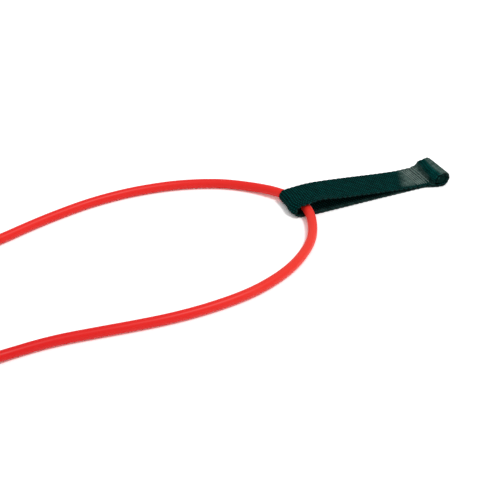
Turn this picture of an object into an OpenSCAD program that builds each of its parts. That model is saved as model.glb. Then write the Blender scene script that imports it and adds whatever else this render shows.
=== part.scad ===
// Elastic exercise tube with two foam grip handles and a webbing door anchor.
// The set lies on a flat surface at z = 0. The origin is on the underside of the
// anchor strap, below the place where the tube crosses the strap's centre line.
// +X runs along the anchor strap to its rolled stopper, and +Z is up.

/* [Tube] */
// Outside diameter of the elastic tube
tube_d = 10; // [8:0.5:11]
// Bore of the elastic tube, which the end plugs fill
tube_bore = 5; // [4:0.5:6]
// Diameter of the head of an end plug
plug_head_d = 14; // [13:0.5:17]
// Length of the head of an end plug
plug_head_len = 8; // [6:1:10]
// Length of the stem of an end plug inside the tube
plug_stem_len = 14; // [8:1:16]
// Length of tube that shows between an eyelet and its plug
plug_slack = 6; // [4:1:9]

/* [Door anchor] */
// Width of the anchor webbing
anchor_w = 38; // [30:1:50]
// Thickness of one layer of the anchor webbing
anchor_t = 1.6; // [1.2:0.1:2]
// Room between the tube and the strap above, below and beside it
loop_room = 1; // [0.8:0.1:1.4]
// Distance from the origin to the middle of the rolled stopper
stopper_x = 158; // [140:1:190]
// Length of the part where the two layers are sewn flat together
seam_len = 19; // [16:1:30]
// Angle of the fold from square, so that it lies along the tube
fold_skew = 10; // [0:1:12]
// Height that the upper layer bulges above the fold before it falls
loop_bulge = 2.8; // [1:0.2:4]
// Outside diameter of the rolled stopper
stopper_d = 17.5; // [16:0.5:22]
// Length of the rolled stopper, along its own axis
stopper_len = 34; // [28:1:38]
// Diameter of the rod inside the rolled stopper
stopper_core_d = 11; // [8:0.5:11]
// Angle of the rolled stopper and of the stitching in front of it from square
stopper_skew = 5; // [0:0.5:8]
// Sideways shift of the rolled stopper from the middle of the strap
stopper_shift = 7; // [0:0.5:8]
// Rows of stitching across the sewn part
anchor_rows = 6; // [2:1:6]

/* [Handle strap] */
// Width of the handle webbing
web_w = 20; // [18:1:20]
// Thickness of one layer of the handle webbing
web_t = 1.6; // [1.2:0.1:2]
// Distance from the grip's axis to the front of the handle
handle_depth = 105; // [90:1:130]
// Half the width of the handle strap where it turns across the front
front_half = 12; // [11:0.5:16]
// Radius of the strap where it turns round the end of the grip
turn_r = 7; // [6:0.5:9]
// Radius of the strap at the corners of the front
front_r = 5; // [4:0.5:6]
// Length of the doubled strap along each leg
overlap_len = 30; // [24:1:40]
// Rows of stitching across each doubled leg
handle_rows = 3; // [2:1:4]

/* [Eyelet] */
// Gap between the tube and the eyelet all round
eyelet_gap = 0.1; // [0.05:0.05:0.1]
// Wall of the eyelet's barrel
eyelet_wall = 0.6; // [0.5:0.1:0.8]
// Width of the eyelet's flange and washer outside the barrel
eyelet_rim = 2.7; // [2:0.1:2.8]
// Thickness of the eyelet's flange, of its washer and of its rolled lip
eyelet_t = 0.8; // [0.6:0.1:1]

/* [Grip] */
// Length of the hard core inside a grip
core_len = 126; // [110:1:140]
// Bore of the grip core
core_bore = 21.4; // [21.4:0.1:23]
// Wall of the grip core
core_wall = 1.8; // [1.4:0.2:2.2]
// Thickness of the foam on the core
foam_t = 4; // [3.2:0.2:6]
// Radius of the foam's rounded ends
foam_round = 2; // [1:0.5:3]
// Thickness of the end wall of an end cap
cap_wall = 2.5; // [2:0.5:4]
// Depth of the socket of an end cap
cap_socket = 4; // [3:0.5:6]
// Step from the foam's surface down to the end cap
cap_step = 1; // [0.6:0.2:2]

/* [Stitching] */
// Length of one stitch
stitch_len = 2.6; // [2:0.2:3]
// Distance from one stitch to the next
stitch_pitch = 3.6; // [3.4:0.2:5]
// Width of the thread
thread_w = 0.8; // [0.5:0.1:1]
// Height that the thread stands above the webbing
thread_h = 0.4; // [0.2:0.1:0.5]

/* [Hidden] */
$fn = 64;

tube_red = "#e8382f";
webbing_black = "#12211f";
thread_grey = "#5c6b66";
foam_black = "#1d1d1f";
plastic_black = "#101113";
nickel = "#c9c8c2";

// Clearance between parts that are pressed or slipped together
slip = 0.05;
// A cut runs this far past the face that it opens
past = 1;
// Room in the tube's bore past the end of a plug's stem
stem_room = 0.5;

// Heights of the tube's centre line: on the surface, inside the anchor strap, at a handle
floor_z = tube_d / 2;
cross_z = anchor_t + loop_room + tube_d / 2;
foam_d = core_bore + 2 * core_wall + 2 * foam_t;
handle_z = foam_d / 2;
// Height part of the way up from the surface to top_z
function rise(top_z, share) = floor_z + share * (top_z - floor_z);

// Route of the tube's centre line, as the control points of a smooth spline
route = [
    [-416, 40, handle_z], [-390, 40, handle_z], [-363, 42, rise(handle_z, 0.8)], [-338, 48, rise(handle_z, 0.3)],
    [-312, 54, floor_z], [-287, 63, floor_z], [-263, 71, floor_z], [-237, 78, floor_z],
    [-211, 84, floor_z], [-185, 87, floor_z], [-159, 88, floor_z], [-133, 86, floor_z],
    [-107, 82, floor_z], [-81, 74, floor_z], [-58, 64, floor_z], [-37, 49, floor_z],
    [-18, 30, rise(cross_z, 0.8)], [-4, 8, cross_z], [3, -16, cross_z], [-4, -41, rise(cross_z, 0.4)],
    [-16, -65, floor_z], [-35, -84, floor_z], [-55, -99, floor_z], [-80, -111, floor_z],
    [-105, -119, floor_z], [-131, -123, floor_z], [-157, -125, floor_z], [-184, -125, floor_z],
    [-210, -123, floor_z], [-236, -120, floor_z], [-262, -117, floor_z], [-288, -114, floor_z],
    [-315, -114, floor_z], [-341, -116, floor_z], [-367, -120, rise(handle_z, 0.3)],
    [-393, -122, rise(handle_z, 0.8)], [-420, -122, handle_z], [-446, -122, handle_z]];
spans = len(route) - 1;
rings_per_span = 2;
tube_sides = 12;

// Handle a is at the start of the route and handle b at its end
front_to_tube_end = 2 * web_t + 2 * eyelet_t + plug_slack;
handle_at = [route[0] + [front_to_tube_end, 0, 0], route[spans] + [front_to_tube_end, 0, 0]];

// Smooth spline: the curve of one span between two control points
function knot(i) = i < 0 ? 2 * route[0] - route[1]
    : i > spans ? 2 * route[spans] - route[spans - 1] : route[i];
function curve_at(u) = let (i = min(floor(u), spans - 1), f = u - i)
    (pow(1 - f, 3) * knot(i - 1) + (3 * pow(f, 3) - 6 * pow(f, 2) + 4) * knot(i)
    + (3 * f * (1 + f - f * f) + 1) * knot(i + 1) + pow(f, 3) * knot(i + 2)) / 6;
function heading_at(u) = let (step = 0.01, a = max(u - step, 0), b = min(u + step, spans),
    d = curve_at(b) - curve_at(a)) d / norm(d);
function side_of(d) = let (s = cross(d, [0, 0, 1])) s / norm(s);

// Where the tube's side is closest to the skewed fold, inside the width of the anchor strap,
// as a place on the strap's centre line
looks_per_span = 20;
function leftmost() = min([for (i = [0:looks_per_span * spans]) let (u = i / looks_per_span,
    q = curve_at(u) + tube_d / 2 * side_of(heading_at(u))) if (abs(q[1]) < anchor_w / 2)
    q[0] + q[1] * tan(fold_skew)]);

// Section of the anchor strap's loop, in x and z
loop_r = tube_d / 2 + loop_room;
fold_x = leftmost() - loop_room / 2 + loop_r;
fold_z = anchor_t + loop_r;
seam_end_x = stopper_x - stopper_d / 2;
seam_start_x = seam_end_x - seam_len;
seam_top_z = 2 * anchor_t;
arc_steps = 24;
slope_steps = 32;
// The upper layer's slope: where its crest and its foot pull, as shares of its length and height
crest_at = 0.23;
foot_at = 0.64;
foot_height = 0.42;
slope_len = seam_start_x - fold_x;
slope_height = loop_r + loop_bulge;
bezier = [[fold_x, fold_z + loop_r], [fold_x + crest_at * slope_len, fold_z + slope_height],
    [fold_x + foot_at * slope_len, anchor_t + foot_height * slope_height], [seam_start_x, anchor_t]];
function bezier_at(u) = pow(1 - u, 3) * bezier[0] + 3 * pow(1 - u, 2) * u * bezier[1]
    + 3 * (1 - u) * u * u * bezier[2] + pow(u, 3) * bezier[3];
function bezier_normal(u) = let (d = pow(1 - u, 2) * (bezier[1] - bezier[0])
    + 2 * (1 - u) * u * (bezier[2] - bezier[1]) + u * u * (bezier[3] - bezier[2])) [-d[1], d[0]] / norm(d);
// The loop's outline, moved outwards by grow: the upper layer, then the fold
function loop_line(grow) = concat(
    [for (i = [slope_steps:-1:0]) bezier_at(i / slope_steps) + grow * bezier_normal(i / slope_steps)],
    [for (i = [1:arc_steps]) let (a = 90 + 180 * i / arc_steps)
        [fold_x, fold_z] + (loop_r + grow) * [cos(a), sin(a)]]);
// The same outline square to the skewed fold
function across_fold(line) = [for (p = line) [p[0] * cos(fold_skew), p[1]]];

// Rounded corner of a closed strap: points at a distance out from its centre line
function unit(v) = v / norm(v);
function corner(p, v, q, r, out) = let (a = unit(p - v), b = unit(q - v), mid = unit(a + b),
    half = acos(a * b) / 2, c = v + mid * r / sin(half),
    from = atan2(a[0], -a[1]), turn = 180 - 2 * half)
    [for (i = [0:corner_steps]) let (w = from + turn * i / corner_steps) c + (r + out) * [cos(w), sin(w)]];
corner_steps = 16;

// Centre line of the handle strap, in the handle's own frame: the front's face is at x = 0
cap_face_y = core_len / 2 + cap_wall;
strap_front_x = -1.5 * web_t;
// Gap between an end cap and the strap where it turns
turn_gap = 0.5;
// Angle that the strap turns through there, for legs that run straight to the front
turn_angle = 90 + atan((cap_face_y + turn_r - front_half) / handle_depth);
turn_y = cap_face_y + turn_gap + turn_r * tan(turn_angle / 2);
corners = [[-handle_depth, turn_y], [-handle_depth, -turn_y], [strap_front_x, -front_half], [strap_front_x, front_half]];
function strap_corner(i, out) = corner(corners[(i + 3) % 4], corners[i], corners[(i + 1) % 4],
    i < 2 ? turn_r : front_r, out);
leg = unit(corners[0] - corners[3]);

// Least distance from a stitch to the edge of its webbing, and from its row to the end of a doubled part
stitch_margin = 1.5;
row_margin = 3;
// Points along a rounded edge
round_steps = 8;

// A smooth round tube along the route, one ring of points after another
module tube() {
    last = spans * rings_per_span;
    points = [for (i = [0:last]) let (u = i / rings_per_span, c = curve_at(u), d = heading_at(u), s = side_of(d),
        k = cross(s, d)) for (j = [0:tube_sides - 1]) let (a = 360 * j / tube_sides)
        c + tube_d / 2 * (cos(a) * s + sin(a) * k)];
    walls = [for (i = [0:last - 1]) for (j = [0:tube_sides - 1]) let (n = (j + 1) % tube_sides,
        a = i * tube_sides + j, b = i * tube_sides + n, c = a + tube_sides, d = b + tube_sides)
        each [[a, c, b], [b, c, d]]];
    caps = [[for (j = [0:tube_sides - 1]) j],
        [for (j = [tube_sides - 1:-1:0]) last * tube_sides + j]];
    color(tube_red) difference() {
        polyhedron(points = points, faces = concat(walls, caps));
        for (end = [0, 1]) translate(end == 0 ? route[0] : route[spans]) rotate([0, 90, 0])
            translate([0, 0, -past]) cylinder(d = tube_bore, h = plug_stem_len + past + stem_room);
    }
}

// End plug: a stem with a tapered tip inside the tube and a domed head behind it
module tube_plug(end) {
    head_r = plug_head_d / 2;
    stem_r = tube_bore / 2 - slip;
    tip_len = 2;
    tip_r = stem_r - 0.8;
    edge = 0.6;
    rim = plug_head_len / 4;
    dome = [for (i = [0:round_steps]) let (a = 90 * i / round_steps)
        [head_r * cos(a), rim + (plug_head_len - rim) * sin(a)]];
    color(plastic_black) translate(end == 0 ? route[0] : route[spans]) rotate([0, -90, 0])
        rotate_extrude() polygon(concat([[0, -plug_stem_len], [tip_r, -plug_stem_len],
            [stem_r, tip_len - plug_stem_len], [stem_r, 0], [head_r - edge, 0], [head_r, edge]], dome));
}

// One length of webbing: lower layer, fold round the tube, upper layer and rolled stopper
module anchor_strap() {
    roll_in = 3.5; // the flat layers end this far before the stopper's axis, inside the roll
    flat_end_x = stopper_x - roll_in;
    color(webbing_black) difference() {
        union() {
            intersection() {
                rotate([90, 0, fold_skew]) translate([0, 0, -stopper_x]) linear_extrude(2 * stopper_x) difference() {
                    polygon(across_fold(concat([[flat_end_x, 0], [flat_end_x, seam_top_z]], loop_line(anchor_t))));
                    polygon(across_fold(loop_line(0)));
                }
                translate([-stopper_x, -anchor_w / 2, -past]) cube([3 * stopper_x, anchor_w, 3 * stopper_d]);
            }
            stopper_place() cylinder(d = stopper_d, h = stopper_len, center = true);
        }
        stopper_place() cylinder(d = stopper_core_d + 2 * slip, h = stopper_len + 2 * past, center = true);
    }
}

// Puts a piece on the stopper's own axis, which lies across the strap
module stopper_place() {
    translate([stopper_x, -stopper_shift, stopper_d / 2]) rotate([0, 0, stopper_skew]) rotate([90, 0, 0]) children();
}

// Rod that the end of the anchor strap is rolled round, sunk a little at both ends
module anchor_stopper_core() {
    sunk = 1;
    color(foam_black) stopper_place() cylinder(d = stopper_core_d, h = stopper_len - 2 * sunk, center = true);
}

// A row of stitches along y, centred on x = 0, that stands on z = 0
module stitch_row(width) {
    count = floor((width - stitch_len) / stitch_pitch) + 1;
    for (i = [0:count - 1]) translate([-thread_w / 2, (i - (count - 1) / 2) * stitch_pitch - stitch_len / 2, 0])
        cube([thread_w, stitch_len, thread_h]);
}

// Rows of stitching that join the two layers in front of the stopper, and run along with it
module anchor_stitching() {
    row_pitch = (seam_len - 2 * row_margin) / (anchor_rows - 1);
    color(thread_grey) for (i = [0:anchor_rows - 1])
        translate([seam_start_x + row_margin + i * row_pitch, 0, seam_top_z]) rotate([0, 0, stopper_skew])
            stitch_row(anchor_w - 2 * stitch_margin);
}

// Puts a piece in a handle's own frame
module handle_place(end) {
    translate(handle_at[end]) children();
}

// Closed strap of a handle, doubled across the front, with a hole for the eyelet
module handle_strap(end) {
    far_leg = corners[3] + overlap_len * leg;
    near_leg = corners[2] + overlap_len * [leg[0], -leg[1]];
    inner_leg = web_t / 2;
    outer_leg = 3 * web_t / 2;
    out_far = unit([-leg[1], leg[0]]) * -1;
    out_near = [out_far[0], -out_far[1]];
    color(webbing_black) handle_place(end) difference() {
        translate([0, 0, -web_w / 2]) linear_extrude(web_w) {
            difference() {
                polygon([for (i = [0:3]) each strap_corner(i, web_t / 2)]);
                polygon([for (i = [0:3]) each strap_corner(i, -web_t / 2)]);
            }
            polygon(concat([near_leg + inner_leg * out_near, near_leg + outer_leg * out_near],
                strap_corner(2, outer_leg), strap_corner(3, outer_leg),
                [far_leg + outer_leg * out_far, far_leg + inner_leg * out_far],
                [for (i = [corner_steps:-1:0]) strap_corner(3, inner_leg)[i]],
                [for (i = [corner_steps:-1:0]) strap_corner(2, inner_leg)[i]]));
        }
        rotate([0, 90, 0]) cylinder(d = tube_d + 2 * (eyelet_gap + eyelet_wall + slip), h = 6 * web_t, center = true);
    }
}

// Rows of stitching across both doubled legs
module handle_stitching(end) {
    lean = atan2(leg[1], leg[0]);
    last = overlap_len - 2 * row_margin;
    row_pitch = (last - front_r - row_margin) / handle_rows;
    color(thread_grey) handle_place(end) for (flip = [0, 1]) mirror([0, flip, 0])
        translate(corners[3]) rotate([0, 0, lean]) for (i = [0:handle_rows - 1])
            translate([last - i * row_pitch, -3 * web_t / 2, 0]) rotate([90, 0, 0])
                stitch_row(web_w - 2 * stitch_margin);
}

// Eyelet: flange in front, barrel through both layers and rolled lip behind
module eyelet(end) {
    r0 = tube_d / 2 + eyelet_gap;
    r1 = r0 + eyelet_wall;
    rim = r1 + eyelet_rim;
    lip = r1 + eyelet_rim / 2;
    back = -2 * web_t - eyelet_t;
    color(nickel) handle_place(end) rotate([0, 90, 0]) rotate_extrude() polygon([
        [r0, back - eyelet_t], [lip - eyelet_t / 2, back - eyelet_t], [lip, back - eyelet_t / 2], [lip, back],
        [r1, back], [r1, 0], [rim, 0], [rim, eyelet_t / 3], [rim - eyelet_t / 2, 0.8 * eyelet_t],
        [r1, eyelet_t], [r0 + eyelet_wall / 3, eyelet_t], [r0, 0.7 * eyelet_t]]);
}

// Washer that the eyelet's lip is rolled over
module eyelet_washer(end) {
    r1 = tube_d / 2 + eyelet_gap + eyelet_wall;
    color(nickel) handle_place(end) rotate([0, 90, 0]) translate([0, 0, -2 * web_t - eyelet_t]) difference() {
        cylinder(r = r1 + eyelet_rim, h = eyelet_t);
        translate([0, 0, -past]) cylinder(r = r1 + slip, h = eyelet_t + 2 * past);
    }
}

// Puts a piece on a grip's axis, which lies along y
module grip_place(end) {
    handle_place(end) translate([-handle_depth, 0, 0]) rotate([-90, 0, 0]) children();
}

// Hard tube that carries the foam and that the strap passes through
module grip_core(end) {
    color(plastic_black) grip_place(end) difference() {
        cylinder(d = core_bore + 2 * core_wall, h = core_len, center = true);
        cylinder(d = core_bore, h = core_len + 2 * past, center = true);
    }
}

// Foam sleeve between the two end caps
module grip_foam(end) {
    inner_r = core_bore / 2 + core_wall + slip;
    outer_r = foam_d / 2;
    half = core_len / 2 - cap_socket - slip;
    turns = [for (i = [0:round_steps]) 90 * i / round_steps];
    color(foam_black) grip_place(end) rotate_extrude() polygon(concat(
        [[inner_r, half], [inner_r, -half]],
        [for (a = turns) [outer_r - foam_round + foam_round * sin(a), -half + foam_round - foam_round * cos(a)]],
        [for (a = turns) [outer_r - foam_round + foam_round * cos(a), half - foam_round + foam_round * sin(a)]]));
}

// End cap: a socket on the core, an end wall and a rounded mouth for the strap
module end_cap(end, side) {
    mouth_r = core_bore / 2;
    socket_r = mouth_r + core_wall + slip;
    cap_r = foam_d / 2 - cap_step;
    round_r = cap_wall / 2;
    turns = [for (i = [0:round_steps]) 90 * i / round_steps];
    color(plastic_black) grip_place(end) mirror([0, 0, side]) translate([0, 0, core_len / 2])
        rotate_extrude() polygon(concat([[mouth_r, slip], [socket_r, slip], [socket_r, -cap_socket],
            [cap_r, -cap_socket]],
            [for (a = turns) [cap_r - round_r + round_r * cos(a), cap_wall - round_r + round_r * sin(a)]],
            [for (a = turns) [mouth_r + round_r - round_r * sin(a), cap_wall - round_r + round_r * cos(a)]]));
}

tube();
tube_plug(0);  // tube_plug_a
tube_plug(1);  // tube_plug_b
anchor_strap();
anchor_stopper_core();
anchor_stitching();
handle_strap(0);  // handle_strap_a
handle_stitching(0);  // handle_stitching_a
eyelet(0);  // eyelet_a
eyelet_washer(0);  // eyelet_washer_a
grip_core(0);  // grip_core_a
grip_foam(0);  // grip_foam_a
end_cap(0, 1);  // end_cap_left_a
end_cap(0, 0);  // end_cap_right_a
handle_strap(1);  // handle_strap_b
handle_stitching(1);  // handle_stitching_b
eyelet(1);  // eyelet_b
eyelet_washer(1);  // eyelet_washer_b
grip_core(1);  // grip_core_b
grip_foam(1);  // grip_foam_b
end_cap(1, 1);  // end_cap_left_b
end_cap(1, 0);  // end_cap_right_b
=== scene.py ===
# Elastic exercise tube with two foam grip handles and a webbing door anchor.
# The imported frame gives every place; this script gives each piece its full shape and its finish.
import math

import bmesh
import bpy
import numpy as np
from mathutils import Matrix, Vector


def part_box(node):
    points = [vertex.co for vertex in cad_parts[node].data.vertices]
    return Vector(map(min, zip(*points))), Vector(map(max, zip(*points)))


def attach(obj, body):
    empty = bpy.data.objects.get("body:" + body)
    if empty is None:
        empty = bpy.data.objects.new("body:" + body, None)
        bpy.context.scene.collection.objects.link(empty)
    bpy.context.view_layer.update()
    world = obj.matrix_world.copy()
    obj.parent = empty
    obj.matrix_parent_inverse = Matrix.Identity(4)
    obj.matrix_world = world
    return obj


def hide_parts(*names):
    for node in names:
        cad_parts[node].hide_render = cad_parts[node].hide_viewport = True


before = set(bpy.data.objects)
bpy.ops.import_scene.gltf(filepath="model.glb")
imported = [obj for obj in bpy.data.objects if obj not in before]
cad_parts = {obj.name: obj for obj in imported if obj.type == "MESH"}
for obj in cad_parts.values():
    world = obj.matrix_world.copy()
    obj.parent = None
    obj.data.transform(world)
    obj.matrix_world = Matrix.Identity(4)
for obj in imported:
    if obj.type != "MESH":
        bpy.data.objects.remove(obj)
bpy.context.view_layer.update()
mm = 0.001
chance = np.random.default_rng(11)  # for what the hand or the process leaves uneven


# Shapes are worked out in millimetres, and addPiece writes them in metres
def smoothStep(t):
    t = np.clip(t, 0, 1)
    return t * t * (3 - 2 * t)


def fade(values, span):  # from 0 to 1, starting at the first number of the span and over the second
    start, over = span
    return smoothStep((values - start) / over)


def bell(values, span):  # 1 at the first number of the span, and little further off than the second
    middle, over = span
    return np.exp(-((values - middle) / over) ** 2)


def unit(v):
    return v / np.linalg.norm(v, axis=-1, keepdims=True)


def boxOf(node):  # lowest and highest corner of a node
    low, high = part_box(node)
    return np.array(low) / mm, np.array(high) / mm


def centreOf(node):
    low, high = boxOf(node)
    return (low + high) / 2


def pathLength(points):  # distance along a line of points, one value a point
    return np.concatenate([[0], np.cumsum(np.linalg.norm(np.diff(points, axis=0), axis=1))])


def evenly(points, step):  # the same flat line with its points a step apart; further columns go along
    places = pathLength(points[:, :2])
    wanted = np.linspace(0, places[-1], int(round(places[-1] / step)) + 1)
    return wanted, np.stack([np.interp(wanted, places, column) for column in points.T], 1)


def arc(centre, radius, start, stop, steps=48):  # angles in degrees
    turns = np.radians(np.linspace(start, stop, steps))
    return np.array(centre) + radius * np.stack([np.cos(turns), np.sin(turns)], 1)


# Rounds the corners of a closed outline, whose points are [x, y, radius]
def rounded(outline, steps=6):
    found = []
    for k, (x, y, radius) in enumerate(outline):
        corner = np.array([x, y])
        before = unit(np.array(outline[k - 1][:2]) - corner)
        after = unit(np.array(outline[(k + 1) % len(outline)][:2]) - corner)
        if radius == 0:
            found.append(corner)
            continue
        half = math.acos(np.clip(before @ after, -1, 1)) / 2
        middle = corner + unit(before + after) * radius / math.sin(half)
        start, stop = (corner + way * radius / math.tan(half) - middle for way in (before, after))
        a, b = math.atan2(start[1], start[0]), math.atan2(stop[1], stop[0])
        turn = (b - a + math.pi) % (2 * math.pi) - math.pi
        found += [middle + radius * np.array([math.cos(a + turn * t), math.sin(a + turn * t)])
                  for t in np.linspace(0, 1, steps)]
    return np.array(found)


# Closed skin over rings of points. A looped skin joins its last ring to its first, and any other has
# a fan on each end. It carries one map in millimetres, and one that fills a square for baking, which
# folds a long skin into rows.
def skinOf(rings, looped=False, **values):
    count, sides = rings.shape[:2]
    spans = count if looped else count - 1
    around = np.linalg.norm(rings - np.roll(rings, -1, 1), axis=2)
    around = np.concatenate([[0], np.cumsum(np.median(around, 0))])
    along = np.linalg.norm(rings - np.roll(rings, -1, 0), axis=2).mean(1)[:spans]
    along = np.concatenate([[0], np.cumsum(along)])
    i, j = (grid.ravel() for grid in np.meshgrid(np.arange(spans), np.arange(sides), indexing="ij"))
    here, ahead, beside = i * sides, (i + 1) % count * sides, (j + 1) % sides
    faces = np.stack([here + j, here + beside, ahead + beside, ahead + j], 1).tolist()
    cornerI = np.stack([i, i, i + 1, i + 1], 1).ravel()
    cornerJ = np.stack([j, j + 1, j + 1, j], 1).ravel()
    rows = max(1, int(round(math.sqrt(along[-1] / around[-1]))))
    perRow = math.ceil(spans / rows)
    gap = 0.004  # share of a row that stays empty

    def inSquare(place, row, turn):  # place is a ring's number in its row, 0 to perRow + 2
        return np.stack([gap + (1 - 2 * gap) * place / (perRow + 2),
                         (row + gap + (1 - 2 * gap) * turn / around[-1]) / rows], -1)

    row = np.repeat(i // perRow, 4)
    millimetres = [np.stack([along[cornerI], around[cornerJ]], 1)]
    square = [inSquare(cornerI - row * perRow + 1, row, around[cornerJ])]
    points = rings.reshape(-1, 3)
    if not looped:
        k = np.arange(sides)
        points = np.concatenate([points, rings[0].mean(0)[None], rings[-1].mean(0)[None]])
        lastRow = (spans - 1) // perRow
        lastPlace = spans - lastRow * perRow + 1
        for start, tip, at, out, row, place in (
                (0, len(points) - 2, along[0], -1, 0, 1),
                ((count - 1) * sides, len(points) - 1, along[-1], 1, lastRow, lastPlace)):
            fan = [start + (k + 1) % sides, start + k][::out * -1]
            faces += np.stack([*fan, np.full(sides, tip)], 1).tolist()
            first, second = (around[1:], around[:-1])[::out * -1]
            turns = np.stack([first, second, (first + second) / 2], 1)
            places = np.tile([0, 0, out], (sides, 1))
            millimetres.append(np.stack([at + places, turns], 2).reshape(-1, 2))
            square.append(inSquare(place + places, row, turns).reshape(-1, 2))
    extra = len(points) - count * sides
    values = {title: np.append(numbers.ravel(), np.zeros(extra)) for title, numbers in values.items()}
    return {"points": points, "sides": sides, "faces": faces, "values": values,
            "millimetres": np.concatenate(millimetres), "square": np.concatenate(square)}


def addPiece(name, skins, body, finish, slot, *nodes):  # one object out of one or more skins
    cells = math.ceil(math.sqrt(len(skins)))
    faces, square, first = [], [], 0
    for number, skin in enumerate(skins):
        faces += [[corner + first for corner in face] for face in skin["faces"]]
        square.append((skin["square"] + [number % cells, number // cells]) / cells)
        first += len(skin["points"])
    mesh = bpy.data.meshes.new(name)
    mesh.from_pydata((np.concatenate([skin["points"] for skin in skins]) * mm).tolist(), [], faces)
    maps = {"millimetres": np.concatenate([skin["millimetres"] for skin in skins]),
            "OFBake": np.concatenate(square)}
    for title, corners in maps.items():
        layer = mesh.uv_layers.new(name=title, do_init=False)
        layer.uv.foreach_set("vector", corners.astype(np.float32).ravel())
    for title in skins[0]["values"]:
        numbers = np.concatenate([skin["values"][title] for skin in skins])
        mesh.attributes.new(title, "FLOAT", "POINT").data.foreach_set("value", numbers.astype(np.float32))
    mesh.shade_smooth()
    mesh.materials.append(finish)
    piece = bpy.data.objects.new(name, mesh)
    bpy.context.scene.collection.objects.link(piece)
    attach(piece, body)
    if nodes:
        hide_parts(*nodes)
    return piece


# Rings of a turned piece: its outline is [place along the axis, distance from it]
def turnedRings(outline, place, axis, sides=96, step=None, looped=True):
    outline = np.array(outline, float)
    if step:
        closed = np.concatenate([outline, outline[:1]]) if looped else outline
        outline = evenly(closed, step)[1][:-1 if looped else None]
    axis = np.array(axis, float)
    side = unit(np.cross(axis, [0.3, 0.2, 1]))
    other = np.cross(axis, side)
    turns = np.arange(sides) / sides * 2 * math.pi
    ring = np.cos(turns)[:, None] * side + np.sin(turns)[:, None] * other
    return np.array(place) + outline[:, None, :1] * axis + outline[:, None, 1:] * ring


def linear(hexColour):  # sRGB hex to the linear colour that a shader works with
    channels = [int(hexColour[i:i + 2], 16) / 255 for i in (1, 3, 5)]
    return [c / 12.92 if c <= 0.04045 else ((c + 0.055) / 1.055) ** 2.4 for c in channels] + [1.0]


def scaleFor(size):  # of a pattern with features of this many millimetres, on coordinates in metres
    return 1 / (size * mm)


def feed(tree, node, links):  # sockets of a node, by name or number, from the outputs of others
    for key, source in links.items():
        tree.links.new(source, node.inputs[key])


# A setting is one of the node's own by its name, or else a socket's value by name or number
def addNode(tree, kind, settings=None, links=None):
    node = tree.nodes.new("ShaderNode" + kind)
    for key, value in (settings or {}).items():
        if isinstance(key, str) and hasattr(node, key):
            setattr(node, key, value)
        else:
            node.inputs[key].default_value = value
    feed(tree, node, links or {})
    return node


def newFinish(name, settings):  # uniform numbers go on the shader's own sockets
    finish = bpy.data.materials.new(name)
    finish.use_nodes = True
    shader = finish.node_tree.nodes["Principled BSDF"]
    for key, value in settings.items():
        shader.inputs[key].default_value = value
    return finish, finish.node_tree, shader


def colourStops(ramp, *pairs):  # (place, hex colour) for each stop of a colour ramp
    elements = ramp.color_ramp.elements
    while len(elements) < len(pairs):
        elements.new(0.5)
    for element, (place, colour) in zip(elements, pairs):
        element.position = place
        element.color = linear(colour)


# Latex rubber, extruded and dusted with talc: satin, with faint drawn lines along its length, and paler
# where the talc lies thicker. A number set along the tube's length adds painted light to that: the tube
# is painted paler round its bend by the anchor and a deeper red towards its far end
def extrudedRubber(name, bare, dusted, thick):
    finish, tree, shader = newFinish(name, {
        "IOR": 1.52, "Specular IOR Level": 0.2, "Subsurface Weight": 0.06, "Subsurface Scale": 2 * mm,
        "Subsurface Radius": (1.0, 0.12, 0.08)})
    place = {"Vector": addNode(tree, "UVMap", {"uv_map": "millimetres"}).outputs["UV"]}
    # the lines that the die draws are 0.7 mm apart and fade in and out every 50 mm
    drawn = addNode(tree, "Mapping", {"Scale": (1 / 50, 1 / 0.714, 1)}, place)
    lines = addNode(tree, "TexNoise", {"Scale": 1.0, "Detail": 3, "Roughness": 0.6},
                    {"Vector": drawn.outputs[0]})
    where = {"Vector": addNode(tree, "TexCoord").outputs["Object"]}
    # the talc lies in patches of 14 mm, down to single grains
    talc = addNode(tree, "TexNoise", {"Scale": scaleFor(14.3), "Detail": 6, "Roughness": 0.65}, where)
    # painted light, set along the tube's length, is added to the talc's patches
    dust = addNode(tree, "Attribute", {"attribute_name": "dust"})
    talcAndLight = addNode(tree, "Math", {"operation": "MULTIPLY_ADD", 1: 0.3},
                     {0: talc.outputs["Fac"], 2: dust.outputs["Fac"]})
    tint = addNode(tree, "ValToRGB", None, {"Fac": talcAndLight.outputs[0]})
    colourStops(tint, (0.15, bare), (0.65, dusted), (1.0, thick))
    gloss = addNode(tree, "MapRange", {"To Min": 0.30, "To Max": 0.46}, {"Value": talc.outputs["Fac"]})
    both = addNode(tree, "Math", {"operation": "ADD"}, {0: lines.outputs["Fac"], 1: talc.outputs["Fac"]})
    bump = addNode(tree, "Bump", {"Strength": 0.14, "Distance": 0.2 * mm}, {"Height": both.outputs[0]})
    feed(tree, shader, {"Base Color": tint.outputs["Color"], "Roughness": gloss.outputs["Result"],
                        "Normal": bump.outputs["Normal"]})
    return finish
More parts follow.
